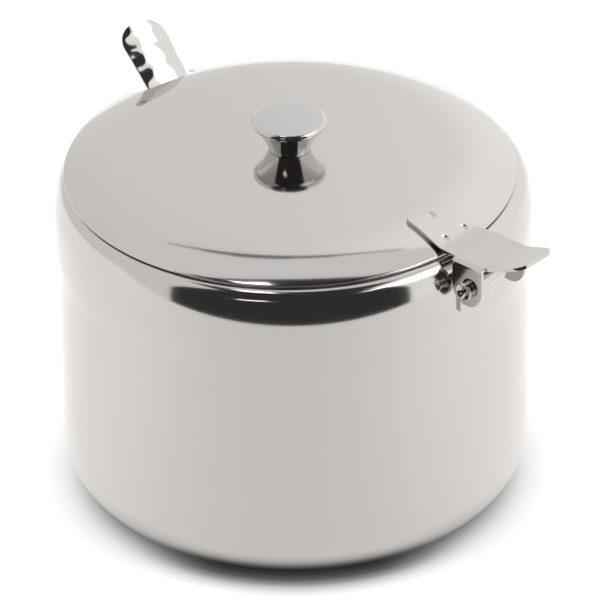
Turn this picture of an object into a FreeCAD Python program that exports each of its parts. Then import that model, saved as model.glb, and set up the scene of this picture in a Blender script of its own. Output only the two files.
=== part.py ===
"""Stainless sugar bowl with a hinged lid, a thumb lever and a loose spoon.

Frame: millimetres, +Z up. The origin is on the bowl's axis, on the plane that the
bowl stands on. +X points at the hinge, and the hinge pin lies along Y.
"""
import FreeCAD, Part
import math
import os

import Sketcher

# Every size that can be set by itself. Lengths are in millimetres, angles in degrees.
SIZES = {
    # drawn bowl
    "wall": 0.8,
    "wall_radius": 69.3,
    "wall_height": 70.0,
    "base_round": 17.0,
    "swell": 0.9,
    "swell_half": 7.0,
    "lip_height": 101.1,
    "lip_round": 4.5,
    "lip_turn": 70.0,
    "lip_flat": 64.5,
    "mouth_radius": 62.4,
    "mouth_curl": 1.4,
    "mouth_hem": 1.5,
    # lid
    "lid_sheet": 0.8,
    "lid_radius": 66.0,
    "lid_back": 1.3,
    "lid_gap": 0.3,
    "crown_radius": 48.0,
    "crown_slope": 4.4,
    "rim_slope": 27.0,
    "notch_width": 22.0,
    "notch_depth": 7.0,
    "notch_corner": 4.0,
    "notch_bearing": 168.5,
    # thumb lever
    "plate": 1.0,
    "weld_gap": 0.05,
    "lever_inner": 49.9,
    "lever_end_half": 6.9,
    "lever_corner": 2.5,
    "lever_neck_half": 8.6,
    "lever_slope": 20.0,
    "lever_bend": 7.0,
    "deck_rise": 1.0,
    "fold_round": 1.25,
    "fold_margin": 0.05,
    "ear_half": 5.45,
    "tab_slope": 20.0,
    "tab_bend": 2.5,
    "tab_length": 12.6,
    "tab_root_half": 8.4,
    "tab_tip_half": 7.4,
    "tab_corner": 3.6,
    "weld_mark_radius": 1.55,
    "weld_mark_depth": 0.3,
    "weld_inner": 54.3,
    "weld_outer": 62.7,
    "weld_half": 4.1,
    # hinge
    "pin_reach": 75.2,
    "pin_drop": 8.6,
    "pin_radius": 1.5,
    "pin_bore": 1.0,
    "pin_running": 0.05,
    "eye_wall": 0.8,
    "eye_half": 8.2,
    "leaf": 1.0,
    "leaf_low": 85.2,
    "leaf_turn": 6.0,
    "collar_radius": 2.2,
    "collar_length": 0.65,
    "groove_radius": 1.85,
    "groove_length": 0.3,
    "flare_radius": 2.85,
    "flare_length": 0.55,
    "flare_lip": 0.35,
    # knob and its screw
    "knob_foot": 6.1,
    "knob_edge_radius": 9.95,
    "knob_edge_height": 7.4,
    "knob_radius": 11.0,
    "knob_widest": 8.9,
    "knob_height": 10.2,
    "knob_shoulder": 1.2,
    "knob_trumpet": 22.0,
    "screw_radius": 2.0,
    "screw_length": 7.0,
    "screw_head_radius": 3.6,
    "screw_head_height": 2.2,
    "screw_slot_half": 0.5,
    "screw_slot_depth": 1.0,
    "screw_clearance": 0.15,
    "thread_seat": 0.01,
    "washer_radius": 4.6,
    "washer_thick": 0.8,
    "washer_seat": 0.03,
    # spoon
    "spoon_sheet": 1.5,
    "spoon_length": 177.0,
    "spoon_bowl_half": 28.0,
    "spoon_bowl_width": 18.0,
    "spoon_bowl_depth": 8.5,
    "spoon_neck_half": 3.0,
    "spoon_neck_reach": 70.0,
    "spoon_end_half": 7.75,
    "spoon_end_round": 6.0,
    "spoon_taper": 28.0,
    "spoon_grip_half": 6.9,
    "spoon_tip_out": 57.0,
    "spoon_tip_up": 1.9,
    "spoon_gap": 0.5,
    "spoon_bearing": 167.7,
}


class Size:
    """A number together with the sheet formula that gives it."""

    def __init__(self, value, formula):
        self.value = value
        self.formula = formula

    def __add__(self, other):
        return combine("+", self, other)

    def __radd__(self, other):
        return combine("+", other, self)

    def __sub__(self, other):
        return combine("-", self, other)

    def __rsub__(self, other):
        return combine("-", other, self)

    def __mul__(self, other):
        return combine("*", self, other)

    def __rmul__(self, other):
        return combine("*", other, self)

    def __truediv__(self, other):
        return combine("/", self, other)

    def __rtruediv__(self, other):
        return combine("/", other, self)

    def __neg__(self):
        return combine("-", 0.0, self)


WORK = {
    "+": lambda left, right: left + right,
    "-": lambda left, right: left - right,
    "*": lambda left, right: left * right,
    "/": lambda left, right: left / right,
}


def as_size(number):
    return number if isinstance(number, Size) else Size(float(number), repr(float(number)))


def combine(sign, left, right):
    left, right = as_size(left), as_size(right)
    return Size(WORK[sign](left.value, right.value),
                "(%s %s %s)" % (left.formula, sign, right.formula))


def sine(angle):
    return Size(math.sin(math.radians(angle.value)), "sin(%s)" % angle.formula)


def cosine(angle):
    return Size(math.cos(math.radians(angle.value)), "cos(%s)" % angle.formula)


def tangent(angle):
    return sine(angle) / cosine(angle)


def root(square):
    return Size(math.sqrt(square.value), "sqrt(%s)" % square.formula)


def arcsine(ratio):
    return Size(math.degrees(math.asin(ratio.value)), "(asin(%s) / 1 deg)" % ratio.formula)


def arctangent(ratio):
    return Size(math.degrees(math.atan(ratio.value)), "(atan(%s) / 1 deg)" % ratio.formula)


class Named:
    """Gives each sheet cell as an attribute: size.wall, size.plate and so on."""

    def __init__(self, sizes):
        for name, value in sizes.items():
            setattr(self, name, Size(float(value), "Sizes." + name))


def make_sheet(doc, sizes):
    sheet = doc.addObject("Spreadsheet::Sheet", "Sizes")
    for row, (name, value) in enumerate(sizes.items(), 1):
        sheet.set("A%d" % row, name)
        sheet.set("B%d" % row, str(value))
        sheet.setAlias("B%d" % row, name)
    return sheet


doc = FreeCAD.newDocument("SugarBowl")
make_sheet(doc, SIZES)
doc.recompute()
size = Named(SIZES)
parts = []


# ---------------------------------------------------------------- sketch helpers

def new_body(name):
    body = doc.addObject("PartDesign::Body", name)
    body.Label = name
    parts.append(body)
    return body


def origin_plane(body, role):
    return next(f for f in body.Origin.OriginFeatures if f.Role == role)


def new_sketch(body, name, role):
    sketch = body.newObject("Sketcher::SketchObject", name)
    sketch.AttachmentSupport = [(origin_plane(body, role), "")]
    sketch.MapMode = "FlatFace"
    return sketch


def bind_constraint(sketch, constraint, number):
    index = sketch.addConstraint(constraint)
    sketch.setExpression("Constraints[%d]" % index, number.formula)


def place_vertex(sketch, geometry, end, x, y):
    """Holds one sketch point at x, y, both measured from the sketch's origin."""
    for kind, axis, number in (("DistanceX", -2, as_size(x)), ("DistanceY", -1, as_size(y))):
        if abs(number.value) < 1e-9:
            sketch.addConstraint(Sketcher.Constraint("PointOnObject", geometry, end, axis))
        elif number.value > 0:
            bind_constraint(sketch, Sketcher.Constraint(
                kind, -1, 1, geometry, end, number.value), number)
        else:
            bind_constraint(sketch, Sketcher.Constraint(
                kind, geometry, end, -1, 1, -number.value), -number)


def arc_between(start, end, radius, turn):
    """The short arc from start to end: turn +1 is anticlockwise, -1 clockwise."""
    chord = end - start
    rise = math.sqrt(max(radius ** 2 - chord.Length ** 2 / 4.0, 0.0))
    side = FreeCAD.Vector(-chord.y, chord.x, 0).normalize() * rise * turn
    centre = (start + end) * 0.5 + side
    first, last = (start, end) if turn > 0 else (end, start)
    angles = [math.atan2(p.y - centre.y, p.x - centre.x) for p in (first, last)]
    circle = Part.Circle(centre, FreeCAD.Vector(0, 0, 1), radius)
    return Part.ArcOfCircle(circle, angles[0], angles[1])


def draw_outline(sketch, corners):
    """Draws one closed outline. A corner is (x, y) when a line arrives at it, and
    (x, y, radius, turn) when an arc does."""
    points = [FreeCAD.Vector(as_size(c[0]).value, as_size(c[1]).value, 0) for c in corners]
    ends = []
    for index, corner in enumerate(corners):
        start, end = points[index - 1], points[index]
        if len(corner) == 2:
            geometry = sketch.addGeometry(Part.LineSegment(start, end), False)
            ends.append((geometry, 1, 2))
        else:
            radius, turn = as_size(corner[2]), corner[3]
            geometry = sketch.addGeometry(arc_between(start, end, radius.value, turn), False)
            ends.append((geometry, 1, 2) if turn > 0 else (geometry, 2, 1))
    for index, corner in enumerate(corners):
        geometry, _, end = ends[index]
        following, start, _ = ends[(index + 1) % len(corners)]
        sketch.addConstraint(Sketcher.Constraint(
            "Coincident", geometry, end, following, start))
        place_vertex(sketch, geometry, end, corner[0], corner[1])
    for (geometry, _, _), corner in zip(ends, corners):
        if len(corner) == 4:
            radius = as_size(corner[2])
            bind_constraint(sketch, Sketcher.Constraint(
                "Radius", geometry, radius.value), radius)


def draw_circle(sketch, x, y, radius):
    centre = FreeCAD.Vector(as_size(x).value, as_size(y).value, 0)
    geometry = sketch.addGeometry(
        Part.Circle(centre, FreeCAD.Vector(0, 0, 1), radius.value), False)
    place_vertex(sketch, geometry, 3, x, y)
    bind_constraint(sketch, Sketcher.Constraint("Radius", geometry, radius.value), radius)


def revolve(body, name, sketch, angle=None):
    feature = body.newObject("PartDesign::Revolution", name)
    feature.Profile = sketch
    feature.ReferenceAxis = (sketch, ["V_Axis"])
    feature.Angle = 360
    if angle is not None:
        feature.Midplane = True
        feature.setExpression("Angle", angle.formula)
    return feature


def pad(body, name, sketch, length, centred=True):
    feature = body.newObject("PartDesign::Pad", name)
    feature.Profile = sketch
    feature.Midplane = centred
    feature.setExpression("Length", length.formula)
    return feature


def cut_through(body, name, sketch):
    feature = body.newObject("PartDesign::Pocket", name)
    feature.Profile = sketch
    feature.Type = "ThroughAll"
    feature.Midplane = True
    return feature


def cut_width(body, name, sketch, width):
    feature = body.newObject("PartDesign::Pocket", name)
    feature.Profile = sketch
    feature.Midplane = True
    feature.setExpression("Length", width.formula)
    return feature


def move(item, x=None, y=None, z=None):
    for letter, number in (("x", x), ("y", y), ("z", z)):
        if number is not None:
            item.setExpression("Placement.Base." + letter, as_size(number).formula)


def along(x, z, angle, distance):
    """A point that far from x, z, in a direction given as an angle from vertical."""
    return x + distance * sine(angle), z + distance * cosine(angle)


# ---------------------------------------------------------------- shared places

swell_radius = (size.swell_half * size.swell_half + size.swell * size.swell / 4) / size.swell
swell_top = size.wall_height + 2 * size.swell_half
widest = size.wall_radius + size.swell
lip_centre = (size.lip_flat, size.lip_height - size.lip_round)
lip_end = along(lip_centre[0], lip_centre[1], size.lip_turn, size.lip_round)
shoulder_radius = (widest - lip_end[0]) / (1 - sine(size.lip_turn))
shoulder_centre = (widest - shoulder_radius, lip_end[1] - shoulder_radius * cosine(size.lip_turn))

rim_level = (size.lip_height + size.lid_gap + size.lid_sheet * cosine(size.rim_slope) / 2
             + size.lid_sheet / 2)
skirt_radius = (size.lid_radius - size.crown_radius) / (sine(size.rim_slope) - sine(size.crown_slope))
skirt_centre = (size.crown_radius - skirt_radius * sine(size.crown_slope),
                rim_level - skirt_radius * cosine(size.rim_slope))
crown_sphere = size.crown_radius / sine(size.crown_slope)
crown_centre = (skirt_centre[1] + skirt_radius * cosine(size.crown_slope)
                - crown_sphere * cosine(size.crown_slope))
crown_top = crown_centre + crown_sphere

deck_level = rim_level + size.deck_rise
deck_top = deck_level + size.plate
pin_level = deck_top - size.pin_drop
ear_outer = size.lever_neck_half + size.fold_round + size.fold_margin
ear_inner = ear_outer - size.plate
ear_start = size.pin_reach - size.ear_half
ear_stop = size.pin_reach + size.ear_half


# ---------------------------------------------------------------- the bowl

def make_bowl():
    """One drawn sheet: flat base, rounded corner, wall, swell, shoulder, hemmed mouth."""
    body = new_body("bowl")
    sheet = size.wall
    flat = size.wall_radius - size.base_round
    curl_x = size.mouth_radius + size.mouth_curl
    curl_z = size.lip_height - size.mouth_curl
    hem_z = curl_z - size.mouth_hem
    swell_slope = size.swell_half / swell_radius
    lean = (swell_radius - size.swell / 2) / swell_radius
    middle_x = size.wall_radius + size.swell / 2
    middle_z = size.wall_height + size.swell_half
    inner_lip = along(lip_centre[0], lip_centre[1], size.lip_turn, size.lip_round - sheet)
    outside = [
        (0, 0),
        (flat, 0),
        (size.wall_radius, size.base_round, size.base_round, 1),
        (size.wall_radius, size.wall_height),
        (middle_x, middle_z, swell_radius, -1),
        (widest, swell_top, swell_radius, 1),
        (widest, shoulder_centre[1]),
        (lip_end[0], lip_end[1], shoulder_radius, 1),
        (size.lip_flat, size.lip_height, size.lip_round, 1),
        (curl_x, size.lip_height),
        (size.mouth_radius, curl_z, size.mouth_curl, 1),
        (size.mouth_radius, hem_z),
    ]
    inside = [
        (size.mouth_radius + sheet, hem_z),
        (size.mouth_radius + sheet, curl_z),
        (curl_x, size.lip_height - sheet, size.mouth_curl - sheet, -1),
        (size.lip_flat, size.lip_height - sheet),
        (inner_lip[0], inner_lip[1], size.lip_round - sheet, -1),
        (widest - sheet, shoulder_centre[1], shoulder_radius - sheet, -1),
        (widest - sheet, swell_top),
        (middle_x - sheet * lean, middle_z + sheet * swell_slope, swell_radius - sheet, -1),
        (size.wall_radius - sheet, size.wall_height, swell_radius + sheet, 1),
        (size.wall_radius - sheet, size.base_round),
        (flat, sheet, size.base_round - sheet, -1),
        (0, sheet),
    ]
    profile = new_sketch(body, "bowl_profile", "XZ_Plane")
    draw_outline(profile, outside + inside)
    revolve(body, "bowl_turned", profile)


def make_hinge_bracket():
    """A leaf on the shoulder, folded out into a web and rolled round the pin as an eye."""
    body = new_body("hinge_bracket")
    eye = size.pin_radius + size.pin_running + size.eye_wall
    web_top = pin_level + eye
    web_low = web_top - size.leaf
    top_cosine = (web_top - shoulder_centre[1]) / shoulder_radius
    top_sine = root(1 - top_cosine * top_cosine)
    leaf = new_sketch(body, "leaf_profile", "XZ_Plane")
    draw_outline(leaf, [
        (widest, size.leaf_low),
        (widest + size.leaf, size.leaf_low),
        (widest + size.leaf, shoulder_centre[1]),
        (shoulder_centre[0] + (shoulder_radius + size.leaf) * top_sine,
         shoulder_centre[1] + (shoulder_radius + size.leaf) * top_cosine,
         shoulder_radius + size.leaf, 1),
        (shoulder_centre[0] + shoulder_radius * top_sine, web_top),
        (widest, shoulder_centre[1], shoulder_radius, -1),
    ])
    revolve(body, "leaf_turned", leaf, 2 * size.leaf_turn)
    low_cosine = (web_low - shoulder_centre[1]) / shoulder_radius
    root_x = (shoulder_centre[0] + shoulder_radius * root(1 - low_cosine * low_cosine)
              + size.leaf / 3)
    entry = root(eye * eye - (web_low - pin_level) * (web_low - pin_level))
    web = new_sketch(body, "web_and_eye", "XZ_Plane")
    draw_outline(web, [
        (root_x, web_low),
        (size.pin_reach - entry, web_low),
        (size.pin_reach - eye, pin_level, eye, 1),
        (size.pin_reach, pin_level - eye, eye, 1),
        (size.pin_reach + eye, pin_level, eye, 1),
        (size.pin_reach, web_top, eye, 1),
        (root_x, web_top),
    ])
    draw_circle(web, size.pin_reach, pin_level, size.pin_radius + size.pin_running)
    pad(body, "web_rolled", web, 2 * size.eye_half)


# ---------------------------------------------------------------- the lid

def make_lid():
    """A shallow pressed dome with a rounded edge and a spoon notch in its rim."""
    body = new_body("lid")
    half = size.lid_sheet / 2
    inner = along(skirt_centre[0], skirt_centre[1], size.rim_slope, skirt_radius - size.lid_sheet)
    middle = along(skirt_centre[0], skirt_centre[1], size.rim_slope, skirt_radius - half)
    brim = (middle[0] + half * cosine(size.rim_slope), middle[1] - half * sine(size.rim_slope))
    crown_edge = along(0, crown_centre, size.crown_slope, crown_sphere)
    under_edge = along(0, crown_centre, size.crown_slope, crown_sphere - size.lid_sheet)
    profile = new_sketch(body, "lid_profile", "XZ_Plane")
    draw_outline(profile, [
        (0, crown_top - size.lid_sheet),
        (under_edge[0], under_edge[1], crown_sphere - size.lid_sheet, -1),
        (inner[0], inner[1], skirt_radius - size.lid_sheet, -1),
        (brim[0], brim[1], half, 1),
        (size.lid_radius, rim_level, half, 1),
        (crown_edge[0], crown_edge[1], skirt_radius, 1),
        (0, crown_top, crown_sphere, 1),
    ])
    revolve(body, "lid_turned", profile)
    hole = new_sketch(body, "screw_hole", "XY_Plane")
    draw_circle(hole, 0, 0, size.screw_radius + size.screw_clearance)
    cut_through(body, "screw_hole_cut", hole)
    cut_notch(body)
    move(body, x=-size.lid_back)


def cut_notch(body):
    """A U-shaped opening, cut inwards from the rim at the notch's bearing."""
    out, side = cosine(size.notch_bearing), sine(size.notch_bearing)
    floor = size.lid_radius - size.notch_depth
    beyond = size.lid_radius + size.notch_depth
    half = size.notch_width / 2
    corner = size.notch_corner

    def turned(reach, across):
        return reach * out - across * side, reach * side + across * out

    notch = new_sketch(body, "notch", "XY_Plane")
    draw_outline(notch, [
        turned(beyond, -half),
        turned(beyond, half),
        turned(floor + corner, half),
        turned(floor, half - corner) + (corner, 1),
        turned(floor, corner - half),
        turned(floor + corner, -half) + (corner, 1),
    ])
    cut_through(body, "notch_cut", notch)


# ---------------------------------------------------------------- the thumb lever

def make_lever():
    """A bent plate: it follows the lid's skirt, runs level with two ears folded down
    over the pin, then turns up as a thumb tab."""
    body = new_body("lever")
    centre_x, centre_z = skirt_centre[0] - size.lid_back, skirt_centre[1]
    under = skirt_radius + size.weld_gap
    over = under + size.plate
    start = arcsine((size.lever_inner - skirt_centre[0]) / skirt_radius)
    tail_low = along(centre_x, centre_z, start, under)
    tail_top = along(centre_x, centre_z, start, over)
    lay_low = along(centre_x, centre_z, size.lever_slope, under)
    lay_top = along(centre_x, centre_z, size.lever_slope, over)
    outer_bend = size.lever_bend + size.plate
    drop = lay_low[1] - deck_level - outer_bend * (1 - cosine(size.lever_slope))
    run = drop / tangent(size.lever_slope)
    bend_low = (lay_low[0] + run, lay_low[1] - drop)
    bend_top = (lay_top[0] + run, lay_top[1] - drop)
    level_x = bend_low[0] + outer_bend * sine(size.lever_slope)
    curl = size.tab_bend + size.plate
    tab_centre = (ear_stop, deck_top + size.tab_bend)
    rise_low = (tab_centre[0] + curl * sine(size.tab_slope),
                tab_centre[1] - curl * cosine(size.tab_slope))
    rise_top = (tab_centre[0] + size.tab_bend * sine(size.tab_slope),
                tab_centre[1] - size.tab_bend * cosine(size.tab_slope))
    reach_x = size.tab_length * cosine(size.tab_slope)
    reach_z = size.tab_length * sine(size.tab_slope)
    strip = new_sketch(body, "side_profile", "XZ_Plane")
    draw_outline(strip, [
        (tail_top[0], tail_top[1]),
        (tail_low[0], tail_low[1]),
        (lay_low[0], lay_low[1], under, -1),
        (bend_low[0], bend_low[1]),
        (level_x, deck_level, outer_bend, 1),
        (tab_centre[0], deck_level),
        (rise_low[0], rise_low[1], curl, 1),
        (rise_low[0] + reach_x, rise_low[1] + reach_z),
        (rise_top[0] + reach_x, rise_top[1] + reach_z),
        (rise_top[0], rise_top[1]),
        (tab_centre[0], deck_top, size.tab_bend, -1),
        (level_x, deck_top),
        (bend_top[0], bend_top[1], size.lever_bend, -1),
        (lay_top[0], lay_top[1]),
        (tail_top[0], tail_top[1], over, 1),
    ][1:])
    pad(body, "strip", strip, 2 * ear_outer)
    add_ears(body)
    trim_lever(body, tail_low[0], rise_low[0] + reach_x)
    round_folds(body)
    mark_welds(body, centre_x, centre_z, over)


def add_ears(body):
    """Both ears come from one solid block, hollowed between them, and bored for the pin."""
    blank = new_sketch(body, "ear_outline", "XZ_Plane")
    draw_outline(blank, [
        (ear_start, pin_level),
        (size.pin_reach, pin_level - size.ear_half, size.ear_half, 1),
        (ear_stop, pin_level, size.ear_half, 1),
        (ear_stop, deck_level + size.plate / 2),
        (ear_start, deck_level + size.plate / 2),
    ])
    pad(body, "ear_block", blank, 2 * ear_outer)
    gap = new_sketch(body, "gap_outline", "XZ_Plane")
    draw_outline(gap, [
        (ear_start - size.plate, pin_level - size.ear_half - size.plate),
        (ear_stop + size.plate, pin_level - size.ear_half - size.plate),
        (ear_stop + size.plate, deck_level),
        (ear_start - size.plate, deck_level),
    ])
    cut_width(body, "gap_cut", gap, 2 * ear_inner)
    bore = new_sketch(body, "ear_bore", "XZ_Plane")
    draw_circle(bore, size.pin_reach, pin_level, size.pin_radius)
    cut_through(body, "ear_bore_cut", bore)


def trim_lever(body, tail, tip):
    """Cuts the strip to its plan: rounded tail, flare, ears at full width, rounded tab."""
    corner, tab_corner = size.lever_corner, size.tab_corner
    half_plan = [
        (tail, size.lever_end_half - corner),
        (tail + corner, size.lever_end_half, corner, -1),
        (ear_start, size.lever_neck_half),
        (ear_start, ear_outer),
        (ear_stop, ear_outer),
        (ear_stop, size.tab_root_half),
        (tip - tab_corner, size.tab_tip_half),
        (tip, size.tab_tip_half - tab_corner, tab_corner, -1),
    ]
    returning = [half_plan[index] for index in (7, 6, 5, 4, 3, 2, 1, 0)]
    mirrored = []
    for index, corner_point in enumerate(returning):
        x, y = corner_point[0], -corner_point[1]
        if index == 1:
            mirrored.append((x, y, tab_corner, -1))
        elif index == 7:
            mirrored.append((x, y, corner, -1))
        else:
            mirrored.append((x, y))
    margin = size.ear_half
    plan = new_sketch(body, "plan", "XY_Plane")
    draw_outline(plan, half_plan + mirrored)
    draw_outline(plan, [
        (tail - margin, -ear_outer - margin),
        (tip + margin, -ear_outer - margin),
        (tip + margin, ear_outer + margin),
        (tail - margin, ear_outer + margin),
    ])
    cut_through(body, "plan_cut", plan)


def round_folds(body):
    """Rounds the two outer fold edges, where the plate turns down into the ears."""
    doc.recompute()
    folded = body.Tip
    names = []
    for index, edge in enumerate(folded.Shape.Edges, 1):
        middle = edge.CenterOfMass
        at_side = abs(abs(middle.y) - ear_outer.value) < 1e-3
        at_top = abs(middle.z - deck_top.value) < 1e-3
        if at_side and at_top:
            names.append("Edge%d" % index)
    fillet = body.newObject("PartDesign::Fillet", "folds")
    fillet.Base = (folded, names)
    fillet.setExpression("Radius", size.fold_round.formula)
    body.Tip = fillet


def mark_welds(body, centre_x, centre_z, over):
    """Three shallow spot-weld dimples: one on the centre line and two further out."""
    mark, depth = size.weld_mark_radius, size.weld_mark_depth
    ball = (mark * mark + depth * depth) / (2 * depth)
    spots = ((size.weld_inner, as_size(0)),
             (size.weld_outer, size.weld_half),
             (size.weld_outer, -size.weld_half))
    for number, (reach, across) in enumerate(spots, 1):
        angle = arcsine((reach - skirt_centre[0]) / skirt_radius)
        x, z = along(centre_x, centre_z, angle, over + ball - depth)
        dimple = body.newObject("PartDesign::SubtractiveSphere", "weld_mark_%d" % number)
        dimple.setExpression("Radius", ball.formula)
        move(dimple, x, across, z)


# ---------------------------------------------------------------- the pin

def make_hinge_pin():
    """A tubular pin that fills both ears and is collared and flared open at its ends."""
    body = new_body("hinge_pin")

    def half_outline(sign):
        collar_end = ear_outer + size.collar_length
        groove_end = collar_end + size.groove_length
        flare_end = groove_end + size.flare_length
        lip = size.flare_lip
        return [
            (size.pin_radius, sign * ear_outer),
            (size.collar_radius, sign * ear_outer),
            (size.collar_radius, sign * collar_end),
            (size.groove_radius, sign * collar_end),
            (size.groove_radius, sign * groove_end),
            (size.flare_radius, sign * flare_end, size.flare_length * 2, -sign),
            (size.flare_radius - lip, sign * (flare_end + lip), lip, sign),
            (size.pin_bore, sign * collar_end, size.flare_length * 6, sign),
        ]

    upper = half_outline(1)
    lower = half_outline(-1)
    closing = [lower[7][:2]]
    back = [lower[6][:2] + (size.flare_length * 6, 1), lower[5][:2] + (size.flare_lip, 1),
            lower[4][:2] + (size.flare_length * 2, -1)]
    rest = [lower[index] for index in (3, 2, 1, 0)]
    profile = new_sketch(body, "pin_profile", "XZ_Plane")
    draw_outline(profile, upper + closing + back + rest)
    revolve(body, "pin_turned", profile)
    body.Placement = FreeCAD.Placement(
        FreeCAD.Vector(0, 0, 0), FreeCAD.Rotation(FreeCAD.Vector(1, 0, 0), -90))
    move(body, x=size.pin_reach, z=pin_level)


# ---------------------------------------------------------------- the knob

def make_knob():
    """A turned steel knob: trumpet stem, rounded edge, slightly domed top, tapped below."""
    body = new_body("knob")
    shoulder = size.knob_shoulder
    hole = size.screw_radius + size.thread_seat
    hole_top = size.screw_length - size.lid_sheet - size.washer_thick
    inner_x = size.knob_radius - shoulder
    shoulder_top = size.knob_widest + shoulder * 0.8
    dome_rise = size.knob_height - shoulder_top
    dome = (inner_x * inner_x + dome_rise * dome_rise) / (2 * dome_rise)
    profile = new_sketch(body, "knob_profile", "XZ_Plane")
    draw_outline(profile, [
        (hole, 0),
        (size.knob_foot, 0),
        (size.knob_edge_radius, size.knob_edge_height, size.knob_trumpet, -1),
        (size.knob_radius, size.knob_widest, size.knob_radius / 5, 1),
        (inner_x, shoulder_top, shoulder, 1),
        (0, size.knob_height, dome, 1),
        (0, hole_top),
        (hole, hole_top),
    ])
    revolve(body, "knob_turned", profile)
    move(body, x=-size.lid_back, z=crown_top)


def make_knob_washer():
    body = new_body("knob_washer")
    hole = size.screw_radius + size.screw_clearance
    profile = new_sketch(body, "washer_profile", "XZ_Plane")
    draw_outline(profile, [
        (hole, -size.washer_thick),
        (size.washer_radius, -size.washer_thick),
        (size.washer_radius, 0),
        (hole, 0),
    ])
    revolve(body, "washer_turned", profile)
    move(body, x=-size.lid_back, z=crown_top - size.lid_sheet - size.washer_seat)


def make_knob_screw():
    """A slotted pan-head screw that holds the knob from inside the lid."""
    body = new_body("knob_screw")
    seat = size.washer_thick + size.washer_seat + size.lid_sheet
    tip = size.screw_length - size.washer_thick - size.lid_sheet - size.screw_clearance
    head = size.screw_head_height
    edge = head * 0.6
    profile = new_sketch(body, "screw_profile", "XZ_Plane")
    draw_outline(profile, [
        (0, -seat - head),
        (size.screw_head_radius - edge, -seat - head),
        (size.screw_head_radius, edge - seat - head, edge, 1),
        (size.screw_head_radius, -seat),
        (size.screw_radius, -seat),
        (size.screw_radius, tip),
        (0, tip),
    ])
    revolve(body, "screw_turned", profile)
    slot = new_sketch(body, "slot", "XZ_Plane")
    half = size.screw_slot_half
    draw_outline(slot, [
        (-half, -seat - head - size.screw_slot_depth),
        (half, -seat - head - size.screw_slot_depth),
        (half, size.screw_slot_depth - seat - head),
        (-half, size.screw_slot_depth - seat - head),
    ])
    cut_through(body, "slot_cut", slot)
    move(body, x=-size.lid_back, z=crown_top)


# ---------------------------------------------------------------- the spoon

def half_ellipsoid(name, length, width, depth):
    """The lower half of an ellipsoid: its flat side up, its long side along X."""
    item = doc.addObject("Part::Ellipsoid", name)
    item.setExpression("Radius1", depth.formula)
    item.setExpression("Radius2", length.formula)
    item.setExpression("Radius3", width.formula)
    item.Angle1 = -90
    item.Angle2 = 0
    move(item, x=size.spoon_bowl_half)
    return item


def make_spoon():
    """A flat-handled spoon in its own frame: tip at the origin, handle along +X, its
    back in the plane of X and Y, then leaned across the bowl."""
    sheet = size.spoon_sheet
    outer = half_ellipsoid("spoon_outer", size.spoon_bowl_half, size.spoon_bowl_width,
                           size.spoon_bowl_depth)
    inner = half_ellipsoid("spoon_inner", size.spoon_bowl_half - sheet,
                           size.spoon_bowl_width - sheet, size.spoon_bowl_depth - sheet)
    shell = doc.addObject("Part::Cut", "spoon_shell")
    shell.Base = outer
    shell.Tool = inner
    handle = doc.addObject("PartDesign::Body", "spoon_handle")
    outline = new_sketch(handle, "handle_outline", "XY_Plane")
    start = 2 * size.spoon_bowl_half - sheet * 0.6
    length, end, ending = size.spoon_length, size.spoon_end_half, size.spoon_end_round
    grip = length - size.spoon_taper
    right = [
        (start, -size.spoon_neck_half),
        (size.spoon_neck_reach, -size.spoon_neck_half),
        (grip, -size.spoon_grip_half),
        (length - ending, -end),
        (length, -end + ending, ending, 1),
    ]
    left = [
        (length, end - ending),
        (length - ending, end, ending, 1),
        (grip, size.spoon_grip_half),
        (size.spoon_neck_reach, size.spoon_neck_half),
        (start, size.spoon_neck_half),
    ]
    draw_outline(outline, right + left)
    pad(handle, "handle_plate", outline, sheet, centred=False)
    spoon = doc.addObject("Part::Fuse", "spoon")
    spoon.Label = "spoon"
    spoon.Base = shell
    spoon.Tool = handle
    parts.append(spoon)
    lean_spoon(spoon)


def lean_spoon(spoon):
    """The handle's back rests on the curl of the mouth, and the tip stands in the
    opposite corner of the floor."""
    curl = (size.mouth_radius + size.mouth_curl, size.lip_height - size.mouth_curl)
    across = curl[0] + size.spoon_tip_out
    up = curl[1] - size.wall - size.spoon_tip_up
    gap = size.mouth_curl + size.spoon_gap
    lean = arctangent(up / across) + arcsine(gap / root(across * across + up * up))
    bearing = size.spoon_bearing
    spoon.setExpression("Placement", "placement(vector(%s; %s; %s); rotation(%s; %s; 0))" % (
        (-size.spoon_tip_out * cosine(bearing)).formula,
        (-size.spoon_tip_out * sine(bearing)).formula,
        (size.wall + size.spoon_tip_up).formula,
        bearing.formula, (-lean).formula))


# ---------------------------------------------------------------- build and write

make_bowl()
make_hinge_bracket()
make_lid()
make_lever()
make_hinge_pin()
make_knob()
make_knob_washer()
make_knob_screw()
make_spoon()
doc.recompute()

for item in doc.Objects:
    if "Invalid" in item.State or "Error" in item.State:
        raise SystemExit("%s did not build: %s" % (item.Label, item.State))
os.makedirs("parts", exist_ok=True)
for item in parts:
    shape = item.Shape
    if shape.isNull() or not shape.isValid():
        raise SystemExit("%s has no valid shape" % item.Label)
    print("%-14s solids %d, volume %9.1f" % (item.Label, len(shape.Solids), shape.Volume))
    shape.exportStep("parts/%s.step" % item.Label)
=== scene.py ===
"""Looks for a polished stainless sugar bowl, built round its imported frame.

Lengths in this file are in millimetres until a piece is finished, when it is scaled
to the frame's metres. +X points at the hinge, and +Z goes up the bowl's axis.
"""

import math

import bmesh
import bpy
from mathutils import Matrix, Vector


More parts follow.
